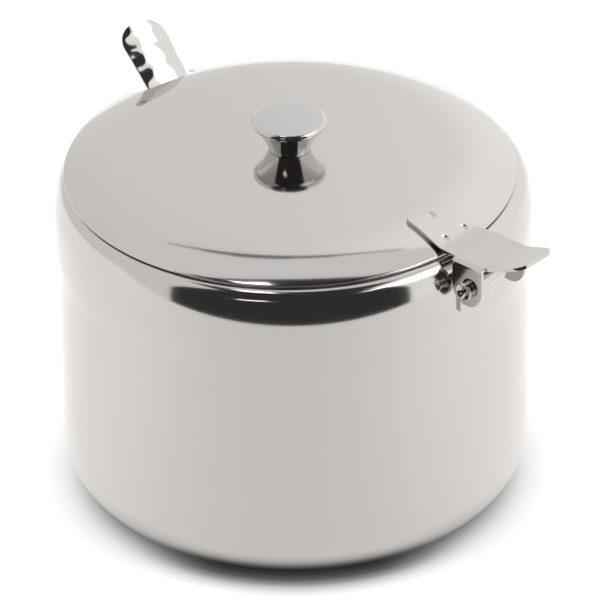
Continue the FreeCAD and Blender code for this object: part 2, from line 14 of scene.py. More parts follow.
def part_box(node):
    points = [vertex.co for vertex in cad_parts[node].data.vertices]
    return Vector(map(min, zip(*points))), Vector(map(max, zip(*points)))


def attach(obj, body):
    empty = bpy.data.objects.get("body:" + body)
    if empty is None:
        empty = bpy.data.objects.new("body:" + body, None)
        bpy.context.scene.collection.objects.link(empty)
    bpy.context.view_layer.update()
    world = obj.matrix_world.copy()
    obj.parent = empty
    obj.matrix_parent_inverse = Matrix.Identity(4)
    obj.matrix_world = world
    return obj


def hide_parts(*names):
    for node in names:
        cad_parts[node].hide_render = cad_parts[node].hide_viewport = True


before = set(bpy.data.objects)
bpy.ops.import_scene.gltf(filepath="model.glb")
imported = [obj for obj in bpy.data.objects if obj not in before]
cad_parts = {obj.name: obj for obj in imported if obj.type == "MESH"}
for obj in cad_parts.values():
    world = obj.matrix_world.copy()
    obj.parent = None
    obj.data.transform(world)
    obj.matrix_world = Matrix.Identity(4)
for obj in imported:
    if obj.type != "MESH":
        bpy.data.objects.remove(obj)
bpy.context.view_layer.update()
MM = 0.001


def in_mm(node):
    low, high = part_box(node)
    return low / MM, high / MM


bowl_high = in_mm("bowl")[1]
lid_low, lid_high = in_mm("lid")
knob_low, knob_high = in_mm("knob")
pin_low, pin_high = in_mm("hinge_pin")

# ---------------------------------------------------------------- outlines


def arc(centre_x, centre_z, radius, start, stop, steps):
    """Points along an arc. Angles are in degrees from straight up, towards +X."""
    turns = [math.radians(start + (stop - start) * i / steps) for i in range(steps + 1)]
    return [(centre_x + radius * math.sin(t), centre_z + radius * math.cos(t)) for t in turns]


def bulge(start, end, radius, turn, steps):
    """Points from start to end along the short arc: turn 1 anticlockwise, -1 clockwise."""
    a, b = Vector(start), Vector(end)
    chord = b - a
    rise = math.sqrt(max(radius * radius - chord.length_squared / 4, 0))
    side = Vector((-chord.y, chord.x)).normalized() * rise * turn
    centre = (a + b) / 2 + side
    first = math.atan2(a.y - centre.y, a.x - centre.x)
    sweep = 2 * math.asin(min(1, chord.length / 2 / radius)) * turn
    return [(centre.x + radius * math.cos(first + sweep * i / steps),
             centre.y + radius * math.sin(first + sweep * i / steps))
            for i in range(steps + 1)]


def between(low, high, share):
    return low + (high - low) * share


# ---------------------------------------------------------------- pieces


def line_of(bm, points, closed=False):
    verts = [bm.verts.new((x, 0, z)) for x, z in points]
    ends = verts[1:] + ([verts[0]] if closed else [])
    edges = [bm.edges.new(pair) for pair in zip(verts, ends)]
    return verts + edges


def close_up(bm):
    """Merges doubles and turns every face outwards."""
    bmesh.ops.remove_doubles(bm, verts=bm.verts, dist=1e-5)
    bmesh.ops.recalc_face_normals(bm, faces=bm.faces)


def mark_creases(bm, degrees=32):
    for edge in bm.edges:
        sharp = len(edge.link_faces) == 2 and edge.calc_face_angle(0) > math.radians(degrees)
        edge.smooth = not sharp
    for face in bm.faces:
        face.smooth = True


def soften(bm, width, segments=2, degrees=50, keep=None):
    """Takes the bite off sharp sheet edges, as tumbling and polishing do."""
    edges = [e for e in bm.edges
             if len(e.link_faces) == 2 and e.calc_face_angle(0) > math.radians(degrees)
             and (keep is None or keep(e))]
    bmesh.ops.bevel(bm, geom=edges, affect="EDGES", offset=width, segments=segments,
                    profile=0.5, material=-1, clamp_overlap=True)


def finish_piece(name, bm, body, slot, *nodes):
    """Scales the mesh to metres and puts the piece in place of its CAD nodes."""
    mark_creases(bm)
    bmesh.ops.scale(bm, vec=(MM, MM, MM), verts=bm.verts)
    mesh = bpy.data.meshes.new(name)
    bm.to_mesh(mesh)
    bm.free()
    piece = bpy.data.objects.new(name, mesh)
    bpy.context.scene.collection.objects.link(piece)
    mesh.materials.append(finishes[slot])
    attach(piece, body)
    if nodes:
        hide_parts(*nodes)
    return piece


def turned(points, steps=256, centre=(0, 0, 0), closed=True):
    """A lathe-turned form from an outline of (radius, height) points."""
    bm = bmesh.new()
    geometry = line_of(bm, points, closed)
    bmesh.ops.spin(bm, geom=geometry, axis=(0, 0, 1), cent=(0, 0, 0), dvec=(0, 0, 0),
                   angle=math.tau, steps=steps, use_merge=True)
    close_up(bm)
    bmesh.ops.translate(bm, vec=centre, verts=bm.verts)
    return bm


def pushed_out(points, low, high):
    """A prism: an outline of (x, z) points, from y = low to y = high."""
    bm = bmesh.new()
    geometry = line_of(bm, points, closed=True)
    made = bmesh.ops.extrude_edge_only(bm, edges=[g for g in geometry
                                                  if isinstance(g, bmesh.types.BMEdge)])
    moved = [g for g in made["geom"] if isinstance(g, bmesh.types.BMVert)]
    bmesh.ops.translate(bm, vec=(0, high - low, 0), verts=moved)
    bmesh.ops.holes_fill(bm, edges=bm.edges, sides=0)
    bmesh.ops.translate(bm, vec=(0, low, 0), verts=bm.verts)
    close_up(bm)
    return bm


def add_to(bm, other):
    """Joins another mesh into bm as a separate shell."""
    mesh = bpy.data.meshes.new("shell")
    other.to_mesh(mesh)
    other.free()
    bm.from_mesh(mesh)
    bpy.data.meshes.remove(mesh)


def cut_away(bm, cutter):
    """Removes the cutter's volume from bm."""
    made = []
    for source in (bm, cutter):
        mesh = bpy.data.meshes.new("cutting")
        source.to_mesh(mesh)
        source.free()
        piece = bpy.data.objects.new("cutting", mesh)
        bpy.context.scene.collection.objects.link(piece)
        made.append(piece)
    piece, tool = made
    cutting = piece.modifiers.new("cut", "BOOLEAN")
    cutting.operation, cutting.solver, cutting.object = "DIFFERENCE", "EXACT", tool
    graph = bpy.context.evaluated_depsgraph_get()
    result = bpy.data.meshes.new_from_object(piece.evaluated_get(graph))
    left = bmesh.new()
    left.from_mesh(result)
    for gone in made:
        mesh = gone.data
        bpy.data.objects.remove(gone)
        bpy.data.meshes.remove(mesh)
    bpy.data.meshes.remove(result)
    return left


# ---------------------------------------------------------------- shader sums


class Amount:
    """A node socket that Python sums can use. Each sum adds a Math node."""

    def __init__(self, finish, socket):
        self.finish = finish
        self.socket = socket

    def sum(self, operation, left, right=None):
        sockets = {0: left} if right is None else {0: left, 1: right}
        return self.finish.node("ShaderNodeMath", {"operation": operation}, sockets)

    def __add__(self, other):
        return self.sum("ADD", self, other)

    def __radd__(self, other):
        return self.sum("ADD", other, self)

    def __sub__(self, other):
        return self.sum("SUBTRACT", self, other)

    def __rsub__(self, other):
        return self.sum("SUBTRACT", other, self)

    def __mul__(self, other):
        return self.sum("MULTIPLY", self, other)

    def __rmul__(self, other):
        return self.sum("MULTIPLY", other, self)


class Finish:
    """A material, or the room's own nodes, under construction."""

    def __init__(self, tree):
        self.tree = tree
        tree.nodes.clear()

    def node(self, kind, settings=None, sockets=None, output=0):
        made = self.tree.nodes.new(kind)
        for name, setting in (settings or {}).items():
            if name == "stops":
                self.set_stops(made.color_ramp, setting)
            else:
                setattr(made, name, setting)
        for name, value in (sockets or {}).items():
            if isinstance(value, Amount):
                self.tree.links.new(value.socket, made.inputs[name])
            else:
                made.inputs[name].default_value = value
        return Amount(self, made.outputs[output]) if made.outputs else None

    def set_stops(self, ramp, stops):
        while len(ramp.elements) < len(stops):
            ramp.elements.new(1.0)
        for element, (place, colour) in zip(ramp.elements, stops):
            element.position = place
            element.color = colour

    def place(self):
        """Where a point is on the piece, in the row's metres."""
        return self.node("ShaderNodeTexCoord", output="Object")

    def split(self, vector):
        parts = self.node("ShaderNodeSeparateXYZ", sockets={0: vector})
        node = parts.socket.node
        return [Amount(self, out) for out in node.outputs]

    def joined(self, x, y, z):
        return self.node("ShaderNodeCombineXYZ", sockets={0: x, 1: y, 2: z})

    def maths(self, operation, left, right=None):
        sockets = {0: left} if right is None else {0: left, 1: right}
        return self.node("ShaderNodeMath", {"operation": operation}, sockets)

    def noise(self, vector, scale, detail=3.0, rough=0.5):
        return self.node("ShaderNodeTexNoise", sockets={
            "Vector": vector, "Scale": scale, "Detail": detail, "Roughness": rough})

    def ease(self, value, start, stop, low=0.0, high=1.0):
        """A smooth step: low before start and high after stop."""
        return self.node("ShaderNodeMapRange", {"interpolation_type": "SMOOTHSTEP"}, {
            "Value": value, "From Min": start, "From Max": stop,
            "To Min": low, "To Max": high})

    def blend(self, share, first, second):
        """A mix of two colours, or of one colour and a link."""
        mixer = self.tree.nodes.new("ShaderNodeMix")
        mixer.data_type = "RGBA"
        for name, value in (("Factor_Float", share), ("A_Color", first), ("B_Color", second)):
            socket = next(s for s in mixer.inputs if s.identifier == name)
            if isinstance(value, Amount):
                self.tree.links.new(value.socket, socket)
            else:
                socket.default_value = value
        made = next(s for s in mixer.outputs if s.identifier == "Result_Color")
        return Amount(self, made)

    def bump(self, height, strength, distance):
        return self.node("ShaderNodeBump", sockets={
            "Height": height, "Strength": strength, "Distance": distance}, output="Normal")


def opaque(red, green, blue):
    return (red, green, blue, 1.0)


def new_material(name):
    material = bpy.data.materials.new(name)
    material.use_nodes = True
    return material, Finish(material.node_tree)


def tones(tone, streak):
    """The darkest and lightest tone of a finish whose streaks span that share."""
    return (opaque(*(c * (1 - streak / 2) for c in tone)),
            opaque(*(min(1.0, c * (1 + streak / 2)) for c in tone)))


def polished_steel(name, tone, roughness, grain, grain_scale, grain_depth, smear=0.04,
                   streak=0.02):
    """Polished stainless sheet: fine polishing lines that follow the given stretch,
    soft smears in the gloss, and a slight unevenness in its tone."""
    material, finish = new_material(name)
    place = finish.place()
    along = finish.node("ShaderNodeMapping", sockets={"Vector": place, "Scale": grain})
    lines = finish.noise(along, grain_scale, 4.0, 0.65)
    smears = finish.noise(place, 28.0, 3.0, 0.55)
    dark, light = tones(tone, streak)
    worn = finish.ease(lines * 0.6 + smears * 0.4, 0.36, 0.64)
    colour = finish.blend(worn, dark, light)
    gloss = (lines - 0.5) * (roughness * 0.5) + (smears - 0.5) * smear + roughness
    normal = finish.bump(lines, 1.0, grain_depth)
    shader = finish.node("ShaderNodeBsdfPrincipled", sockets={
        "Base Color": colour, "Metallic": 1.0, "Roughness": gloss, "Normal": normal})
    finish.node("ShaderNodeOutputMaterial", sockets={"Surface": shader})
    return material


def turned_steel(name, tone, roughness, centre, ring_scale, ring_depth, smear=0.03,
                 streak=0.03):
    """Steel polished on a lathe or a buffing wheel: its lines run round an axis."""
    material, finish = new_material(name)
    place = finish.place()
    x, y, z = finish.split(place)
    off_x, off_y = x - centre[0] * MM, y - centre[1] * MM
    reach = finish.maths("SQRT", off_x * off_x + off_y * off_y)
    turn = finish.maths("ARCTAN2", off_y, off_x)
    rings = finish.joined(reach * ring_scale, turn * 1.2, z * ring_scale)
    lines = finish.noise(rings, 1.0, 3.0, 0.6)
    smears = finish.noise(place, 34.0, 3.0, 0.5)
    dark, light = tones(tone, streak)
    colour = finish.blend(finish.ease(lines * 0.5 + smears * 0.5, 0.36, 0.64), dark, light)
    gloss = (lines - 0.5) * (roughness * streak * 10) + (smears - 0.5) * smear + roughness
    normal = finish.bump(lines, 1.0, ring_depth)
    shader = finish.node("ShaderNodeBsdfPrincipled", sockets={
        "Base Color": colour, "Metallic": 1.0, "Roughness": gloss, "Normal": normal})
    finish.node("ShaderNodeOutputMaterial", sockets={"Surface": shader})
    return material


STEEL = (0.575, 0.552, 0.530)
knob_centre = ((knob_low.x + knob_high.x) / 2, 0)
finishes = {
    "bowl_steel": polished_steel("drawn bowl steel", STEEL, 0.115, (1, 1, 0.012), 900, 4e-7),
    "lid_steel": turned_steel("pressed lid steel", (0.585, 0.565, 0.545), 0.085,
                              ((lid_low.x + lid_high.x) / 2, 0), 900, 1e-8,
                              smear=0.015, streak=0.006),
    "fitting_steel": polished_steel("hinge sheet steel", STEEL, 0.115,
                                    (0.05, 1, 1), 1500, 2e-7),
    "pin_steel": polished_steel("pin steel", (0.58, 0.57, 0.56), 0.10, (1, 1, 1), 1500, 1e-7),
    "knob_steel": turned_steel("turned knob steel", (0.56, 0.55, 0.54), 0.10,
                               knob_centre, 2200, 4e-7),
    "fastener_steel": turned_steel("screw steel", (0.50, 0.49, 0.48), 0.22,
                                   knob_centre, 2500, 1e-6),
    "spoon_steel": polished_steel("hammered spoon steel", (0.60, 0.58, 0.56), 0.07,
                                  (1, 1, 1), 400, 1e-6),
}

# ---------------------------------------------------------------- the bowl

WALL = 0.8
LIP_FLAT, LIP_ROUND, LIP_TURN = 64.5, 4.5, 70.0
LIP_TOP = bowl_high.z
WALL_RADIUS, WALL_HEIGHT, BASE_ROUND = 69.3, 70.0, 17.0
SWELL, SWELL_HALF = 0.9, 7.0
MOUTH, CURL, HEM = 62.4, 1.4, 1.5

swell_radius = (SWELL_HALF ** 2 + SWELL ** 2 / 4) / SWELL
widest = WALL_RADIUS + SWELL
lip_end = arc(LIP_FLAT, LIP_TOP - LIP_ROUND, LIP_ROUND, 0, LIP_TURN, 1)[-1]
shoulder_radius = (widest - lip_end[0]) / (1 - math.sin(math.radians(LIP_TURN)))
shoulder_x = widest - shoulder_radius
shoulder_z = lip_end[1] - shoulder_radius * math.cos(math.radians(LIP_TURN))


def make_bowl():
    flat = WALL_RADIUS - BASE_ROUND
    swell_turn = math.degrees(math.asin(SWELL_HALF / swell_radius))
    outside = ([(0, 0), (flat * 0.5, 0)]
               + arc(flat, BASE_ROUND, BASE_ROUND, 180, 90, 30)
               + [(WALL_RADIUS, between(BASE_ROUND, WALL_HEIGHT, s)) for s in (0.34, 0.67)]
               + arc(WALL_RADIUS + swell_radius, WALL_HEIGHT, swell_radius,
                     -90, -90 + swell_turn, 8)
               + arc(widest - swell_radius, WALL_HEIGHT + 2 * SWELL_HALF, swell_radius,
                     90 + swell_turn, 90, 8)[1:]
               + arc(shoulder_x, shoulder_z, shoulder_radius, 90, LIP_TURN, 14)
               + arc(LIP_FLAT, LIP_TOP - LIP_ROUND, LIP_ROUND, LIP_TURN, 0, 24)[1:]
               + arc(MOUTH + CURL, LIP_TOP - CURL, CURL, 0, -90, 10)
               + [(MOUTH, LIP_TOP - CURL - HEM)])
    inside = ([(MOUTH + WALL, LIP_TOP - CURL - HEM)]
              + arc(MOUTH + CURL, LIP_TOP - CURL, CURL - WALL, -90, 0, 8)
              + arc(LIP_FLAT, LIP_TOP - LIP_ROUND, LIP_ROUND - WALL, 0, LIP_TURN, 16)
              + arc(shoulder_x, shoulder_z, shoulder_radius - WALL, LIP_TURN, 90, 10)[1:]
              + arc(widest - swell_radius, WALL_HEIGHT + 2 * SWELL_HALF,
                    swell_radius - WALL, 90, 90 + swell_turn, 6)
              + arc(WALL_RADIUS + swell_radius, WALL_HEIGHT, swell_radius + WALL,
                    -90 + swell_turn, -90, 6)[1:]
              + arc(flat, BASE_ROUND, BASE_ROUND - WALL, 90, 180, 24)
              + [(flat * 0.5, WALL), (0, WALL)])
    bm = turned(outside + inside, 320)
    finish_piece("bowl_body", bm, "bowl", "bowl_steel", "bowl")


# ---------------------------------------------------------------- hinge bracket

pin_x, pin_z = (pin_low.x + pin_high.x) / 2, (pin_low.z + pin_high.z) / 2
EYE_BORE, EYE_OUTER, EYE_HALF = 1.55, 2.35, 8.2
LEAF, LEAF_LOW, LEAF_TURN = 1.0, 85.2, 6.0


def make_bracket():
    top = pin_z + EYE_OUTER
    low = top - LEAF
    rise = (top - shoulder_z) / shoulder_radius
    leaf_top = math.degrees(math.acos(rise))
    outline = ([(widest, LEAF_LOW), (widest + LEAF, LEAF_LOW)]
               + arc(shoulder_x, shoulder_z, shoulder_radius + LEAF, 90, leaf_top, 10)
               + arc(shoulder_x, shoulder_z, shoulder_radius, leaf_top, 90, 10))
    bm = bmesh.new()
    geometry = line_of(bm, outline, closed=True)
    bmesh.ops.rotate(bm, cent=(0, 0, 0), verts=bm.verts,
                     matrix=Matrix.Rotation(math.radians(-LEAF_TURN), 3, "Z"))
    bmesh.ops.spin(bm, geom=geometry, axis=(0, 0, 1), cent=(0, 0, 0), dvec=(0, 0, 0),
                   angle=math.radians(2 * LEAF_TURN), steps=10)
    bmesh.ops.holes_fill(bm, edges=bm.edges, sides=0)
    close_up(bm)
    root = shoulder_x + shoulder_radius * math.sin(math.acos((low - shoulder_z)
                                                             / shoulder_radius)) + LEAF / 3
    inner = EYE_OUTER - 0.4
    drop = low - pin_z
    web = ([(root, top), (root, low), (pin_x - math.sqrt(inner ** 2 - drop ** 2), low)]
           + arc(pin_x, pin_z, inner, math.degrees(math.asin(drop / inner)) - 90, 0, 8)[1:]
           + [(pin_x, top)])
    add_to(bm, pushed_out(web, -EYE_HALF, EYE_HALF))
    eye = turned([(EYE_BORE, -EYE_HALF), (EYE_OUTER, -EYE_HALF),
                  (EYE_OUTER, EYE_HALF), (EYE_BORE, EYE_HALF)], 96)
    bmesh.ops.rotate(eye, cent=(0, 0, 0), verts=eye.verts,
                     matrix=Matrix.Rotation(math.radians(-90), 3, "X"))
    bmesh.ops.translate(eye, vec=(pin_x, 0, pin_z), verts=eye.verts)
    add_to(bm, eye)
    soften(bm, 0.12)
    finish_piece("hinge_leaf_and_eye", bm, "bowl", "fitting_steel", "hinge_bracket")


# ---------------------------------------------------------------- the lid

SHEET = 0.8
lid_x = -1.3
LID_RADIUS, CROWN, CROWN_SLOPE, RIM_SLOPE = 66.0, 48.0, 4.4, 27.0
NOTCH_HALF, NOTCH_DEPTH, NOTCH_CORNER, NOTCH_BEARING = 11.0, 7.0, 4.0, 168.5


def sine(degrees):
    return math.sin(math.radians(degrees))


def cosine(degrees):
    return math.cos(math.radians(degrees))


rim_z = LIP_TOP + 0.3 + SHEET * cosine(RIM_SLOPE) / 2 + SHEET / 2
skirt_radius = (LID_RADIUS - CROWN) / (sine(RIM_SLOPE) - sine(CROWN_SLOPE))
skirt_x = CROWN - skirt_radius * sine(CROWN_SLOPE)
skirt_z = rim_z - skirt_radius * cosine(RIM_SLOPE)
crown_radius = CROWN / sine(CROWN_SLOPE)
crown_z = (skirt_z + skirt_radius * cosine(CROWN_SLOPE)
           - crown_radius * cosine(CROWN_SLOPE))


def make_lid():
    hole = 2.15
    middle = arc(skirt_x, skirt_z, skirt_radius - SHEET / 2, RIM_SLOPE, RIM_SLOPE, 1)[0]
    hole_turn = math.degrees(math.asin(hole / crown_radius))
    under = (arc(0, crown_z, crown_radius - SHEET, hole_turn, CROWN_SLOPE, 24)
             + arc(skirt_x, skirt_z, skirt_radius - SHEET, CROWN_SLOPE, RIM_SLOPE, 30)[1:])
    brim = arc(middle[0], middle[1], SHEET / 2, RIM_SLOPE + 180, RIM_SLOPE, 10)[1:-1]
    over = (arc(skirt_x, skirt_z, skirt_radius, RIM_SLOPE, CROWN_SLOPE, 40)
            + arc(0, crown_z, crown_radius, CROWN_SLOPE, hole_turn, 30)[1:])
    bm = turned(under + brim + over, 400)
    floor = LID_RADIUS - NOTCH_DEPTH
    beyond = LID_RADIUS + NOTCH_DEPTH
    inner = NOTCH_HALF - NOTCH_CORNER
    plan = ([(beyond, -NOTCH_HALF), (beyond, NOTCH_HALF)]
            + bulge((floor + NOTCH_CORNER, NOTCH_HALF), (floor, inner), NOTCH_CORNER, 1, 16)
            + bulge((floor, -inner), (floor + NOTCH_CORNER, -NOTCH_HALF),
                    NOTCH_CORNER, 1, 16))
    notch = pushed_out(plan, rim_z - 9, rim_z + 9)
    upright = Matrix(((1, 0, 0), (0, 0, 1), (0, 1, 0)))
    bmesh.ops.transform(notch, matrix=upright.to_4x4(), verts=notch.verts)
    bmesh.ops.rotate(notch, cent=(0, 0, 0), verts=notch.verts,
                     matrix=Matrix.Rotation(math.radians(NOTCH_BEARING), 3, "Z"))
    bmesh.ops.recalc_face_normals(notch, faces=notch.faces)
    bm = cut_away(bm, notch)
    bmesh.ops.translate(bm, vec=(lid_x, 0, 0), verts=bm.verts)
    finish_piece("lid_cover", bm, "lid", "lid_steel", "lid")


# ---------------------------------------------------------------- the thumb lever

PLATE, WELD_GAP = 1.0, 0.05
LEVER_INNER, LEVER_END_HALF, LEVER_CORNER = 49.9, 6.9, 2.5
LEVER_SLOPE, LEVER_BEND, DECK_RISE = 20.0, 7.0, 1.0
FOLD_ROUND, EAR_OUTER, EAR_HALF = 1.25, 9.9, 5.45
TAB_SLOPE, TAB_BEND, TAB_LENGTH, TAB_ROOT, TAB_TIP, TAB_CORNER = 20.0, 2.5, 12.6, 8.4, 7.4, 3.6
WELD_MARKS = ((54.3, 0.0), (62.7, 4.1), (62.7, -4.1))
WELD_RADIUS, WELD_DEPTH = 1.55, 0.3
deck_z = rim_z + DECK_RISE + PLATE
ear_start, ear_stop = pin_x - EAR_HALF, pin_x + EAR_HALF
FLAT_HALF = EAR_OUTER - FOLD_ROUND


def lever_path():
    """The lever's top line as (x, z) points, from its welded tail to where the ear begins."""
    over = skirt_radius + WELD_GAP + PLATE
    tail = math.degrees(math.asin((LEVER_INNER - skirt_x) / skirt_radius))
    centre = (skirt_x + lid_x, skirt_z)
    laid = arc(centre[0], centre[1], over, tail, LEVER_SLOPE, 60)
    drop_top = laid[-1][1] - deck_z - LEVER_BEND * (1 - cosine(LEVER_SLOPE))
    run = drop_top / math.tan(math.radians(LEVER_SLOPE))
    bend_x, bend_z = laid[-1][0] + run, laid[-1][1] - drop_top
    level_x = bend_x + LEVER_BEND * sine(LEVER_SLOPE)
    sloped = [(between(laid[-1][0], bend_x, s / 20), between(laid[-1][1], bend_z, s / 20))
              for s in range(1, 20)]
    bend = arc(level_x, deck_z + LEVER_BEND, LEVER_BEND, 180 + LEVER_SLOPE, 180, 12)
    level = [(between(level_x, ear_start, s / 12), deck_z) for s in range(1, 12)]
    return laid + sloped + bend + level


def corner_half(distance, corner, full):
    """Half a strip's width near a rounded end, by how far it is from that end."""
    if distance >= corner:
        return full
    return full - corner + math.sqrt(max(corner ** 2 - (corner - distance) ** 2, 0))


def make_lever():
    tail_path = lever_path()
    ear_x = [pin_x - EAR_HALF * math.cos(math.pi * i / 40) for i in range(41)]
    curl = arc(ear_stop, deck_z + TAB_BEND, TAB_BEND, 180, 180 - TAB_SLOPE, 8)[1:]
    tip_runs = [TAB_LENGTH * (1 - (1 - i / 40) ** 1.6) for i in range(1, 41)]
    tab = curl + [(curl[-1][0] + d * cosine(TAB_SLOPE), curl[-1][1] + d * sine(TAB_SLOPE))
                  for d in tip_runs]
    tail_x, tip_x = tail_path[0][0], tab[-1][0]
    rows = tail_path + [(x, deck_z) for x in ear_x] + tab
    first_ear, last_ear = len(tail_path), len(tail_path) + len(ear_x) - 1
    across, fold, ear = 96, 8, 30
    columns = across + 2 * (fold + ear)
    bm = bmesh.new()
    bmesh.ops.create_grid(bm, x_segments=len(rows) - 1, y_segments=columns, size=1)
    spots = {v: (round((v.co.x + 1) / 2 * (len(rows) - 1)),
                 round((v.co.y + 1) / 2 * columns) - columns // 2) for v in bm.verts}
    beside = [f for f in bm.faces
              if max(abs(spots[v][1]) for v in f.verts) > across // 2
              and not all(first_ear <= spots[v][0] <= last_ear for v in f.verts)]
    bmesh.ops.delete(bm, geom=beside, context="FACES")
    for vert in bm.verts:
        row, column = spots[vert]
        x, z = rows[row]
        side = 1 if column > 0 else -1
        step = abs(column)
        if row < first_ear:
            half = between(LEVER_END_HALF, FLAT_HALF, (x - tail_x) / (ear_start - tail_x))
            half = corner_half(x - tail_x, LEVER_CORNER, half)
        elif row > last_ear:
            half = between(TAB_ROOT, TAB_TIP, (x - ear_stop) / (tip_x - ear_stop))
            half = corner_half((tip_x - x) / cosine(TAB_SLOPE), TAB_CORNER, half)
        else:
            half = FLAT_HALF
        if step <= across // 2 or not first_ear <= row <= last_ear:
            vert.co = (x, side * min(1, step / (across // 2)) * half, z)
        elif step <= across // 2 + fold:
            turn = (step - across // 2) / fold * 90
            vert.co = (x, side * (FLAT_HALF + FOLD_ROUND * sine(turn)),
                       z - FOLD_ROUND * (1 - cosine(turn)))
        else:
            foot = pin_z - math.sqrt(max(EAR_HALF ** 2 - (x - pin_x) ** 2, 0))
            share = (step - across // 2 - fold) / ear
            vert.co = (x, side * EAR_OUTER, between(z - FOLD_ROUND, foot, share))
    press_weld_marks(bm)
    close_up(bm)
    if sum(f.normal.z for f in bm.faces) < 0:
        bmesh.ops.reverse_faces(bm, faces=bm.faces)
    bmesh.ops.solidify(bm, geom=bm.faces, thickness=PLATE)
    close_up(bm)
    soften(bm, 0.1, 2, 60)
    finish_piece("thumb_lever", bm, "lid", "fitting_steel", "lever")


def press_weld_marks(bm):
    """Three shallow round spot-weld dimples on the lever's tail."""
    ball = (WELD_RADIUS ** 2 + WELD_DEPTH ** 2) / (2 * WELD_DEPTH)
    for reach, across in WELD_MARKS:
        turn = math.asin((reach - skirt_x) / skirt_radius)
        x = skirt_x + lid_x + (skirt_radius + PLATE) * math.sin(turn)
        for vert in bm.verts:
            gap = math.hypot((vert.co.x - x) / math.cos(turn), vert.co.y - across)
            if gap < WELD_RADIUS and vert.co.z > deck_z - 0.5:
                depth = math.sqrt(ball ** 2 - gap ** 2) - (ball - WELD_DEPTH)
                vert.co.x -= depth * math.sin(turn)
                vert.co.z -= depth * math.cos(turn)


# ---------------------------------------------------------------- the pin


def make_pin():
    collar, groove = EAR_OUTER + 0.65, EAR_OUTER + 0.95
    flare = groove + 0.55
    end = ([(1.5, EAR_OUTER - 0.3), (1.5, EAR_OUTER - 0.001)]
           + bulge((2.2 - 0.15, EAR_OUTER), (2.2, EAR_OUTER + 0.15), 0.15, 1, 3)
           + bulge((2.2, collar - 0.15), (2.05, collar), 0.15, 1, 3)
           + [(1.85, collar), (1.85, groove)]
           + bulge((1.85, groove), (2.85, flare), 1.1, -1, 8)[1:]
           + bulge((2.85, flare), (2.5, flare + 0.35), 0.35, 1, 8)[1:]
           + bulge((2.5, flare + 0.35), (1.0, collar), 3.3, 1, 12)[1:])
    other = [(radius, -height) for radius, height in reversed(end)]
    bm = turned(other + end, 128)
    bmesh.ops.rotate(bm, cent=(0, 0, 0), verts=bm.verts,
                     matrix=Matrix.Rotation(math.radians(-90), 3, "X"))
    bmesh.ops.translate(bm, vec=(pin_x, 0, pin_z), verts=bm.verts)
    finish_piece("hinge_pin_tube", bm, "lid", "pin_steel", "hinge_pin")


# ---------------------------------------------------------------- the knob


KNOB_FOOT, KNOB_TRUMPET, KNOB_BREAK = 6.1, 22.0, 0.15
KNOB_EDGE, KNOB_EDGE_HEIGHT, KNOB_EDGE_ROUND = 9.95, 7.4, 2.2
KNOB_RADIUS, KNOB_WIDEST, KNOB_HEIGHT, KNOB_SHOULDER = 11.0, 8.9, 10.2, 1.2
THREAD_BORE, THREAD_DEPTH = 2.01, 5.4


def make_knob():
    inner = KNOB_RADIUS - KNOB_SHOULDER
    shoulder_top = KNOB_WIDEST + KNOB_SHOULDER * 0.8
    rise = KNOB_HEIGHT - shoulder_top
    dome = (inner ** 2 + rise ** 2) / (2 * rise)
    foot, edge = (KNOB_FOOT, KNOB_BREAK), (KNOB_EDGE, KNOB_EDGE_HEIGHT)
    side = (KNOB_RADIUS, KNOB_WIDEST)
    outline = ([(THREAD_BORE, 0), (KNOB_FOOT - 0.2, 0), foot]
               + bulge(foot, edge, KNOB_TRUMPET, -1, 24)[1:]
               + bulge(edge, side, KNOB_EDGE_ROUND, 1, 10)[1:]
               + bulge(side, (inner, shoulder_top), KNOB_SHOULDER, 1, 12)[1:]
               + bulge((inner, shoulder_top), (0, KNOB_HEIGHT), dome, 1, 24)[1:]
               + [(0, THREAD_DEPTH), (THREAD_BORE, THREAD_DEPTH)])
    bm = turned(outline, 256, (lid_x, 0, knob_low.z))
    finish_piece("lid_knob", bm, "lid", "knob_steel", "knob")


# ---------------------------------------------------------------- the spoon

SPOON_LENGTH, SPOON_HALF, SPOON_WIDTH, SPOON_DEPTH, SPOON_SHEET = 177.0, 28.0, 18.0, 8.5, 1.5
NECK_HALF, NECK_REACH, END_HALF, END_ROUND, TAPER, GRIP_HALF = 3.0, 70.0, 7.75, 6.0, 28.0, 6.9
TIP_OUT, TIP_UP, SPOON_GAP, SPOON_BEARING = 57.0, 1.9, 0.5, 167.7
HANDLE_CROWN = 0.016


def spoon_half(reach):
    """Half the handle's width, by how far along the spoon it is."""
    if reach < NECK_REACH:
        return NECK_HALF
    grip = SPOON_LENGTH - TAPER
    if reach < grip:
        return between(NECK_HALF, GRIP_HALF, (reach - NECK_REACH) / (grip - NECK_REACH))
    full = between(GRIP_HALF, END_HALF, (reach - grip) / (TAPER - END_ROUND))
    return corner_half(SPOON_LENGTH - reach, END_ROUND, min(full, END_HALF))


def hammer_marks():
    """Centres, sizes and depths of the overlapping hammer marks along the grip."""
    marks = []
    reach = NECK_REACH + 4
    number = 0
    while reach < SPOON_LENGTH + 2:
        for lane in (-1, 0, 1):
            number += 1
            wander = math.sin(number * 12.9898) * 43758.5453
            wander -= math.floor(wander)
            other = math.sin(number * 78.233) * 12543.123
            other -= math.floor(other)
            marks.append((reach + 3.2 * (wander - 0.5) + (2.6 if lane == 0 else 0),
                          lane * 5.2 + 2.2 * (other - 0.5),
                          3.0 + 1.5 * wander, 0.06 + 0.10 * other))
        reach += 5.2
    return marks


def dent_depth(marks, reach, across):
    """How deep the hammered face lies there: soft dents that run into each other."""
    total = 0.0
    for at, aside, radius, depth in marks:
        gap = (reach - at) ** 2 + (across - aside) ** 2
        if gap < radius * radius:
            total += depth * (1 - gap / (radius * radius)) ** 2
    return total


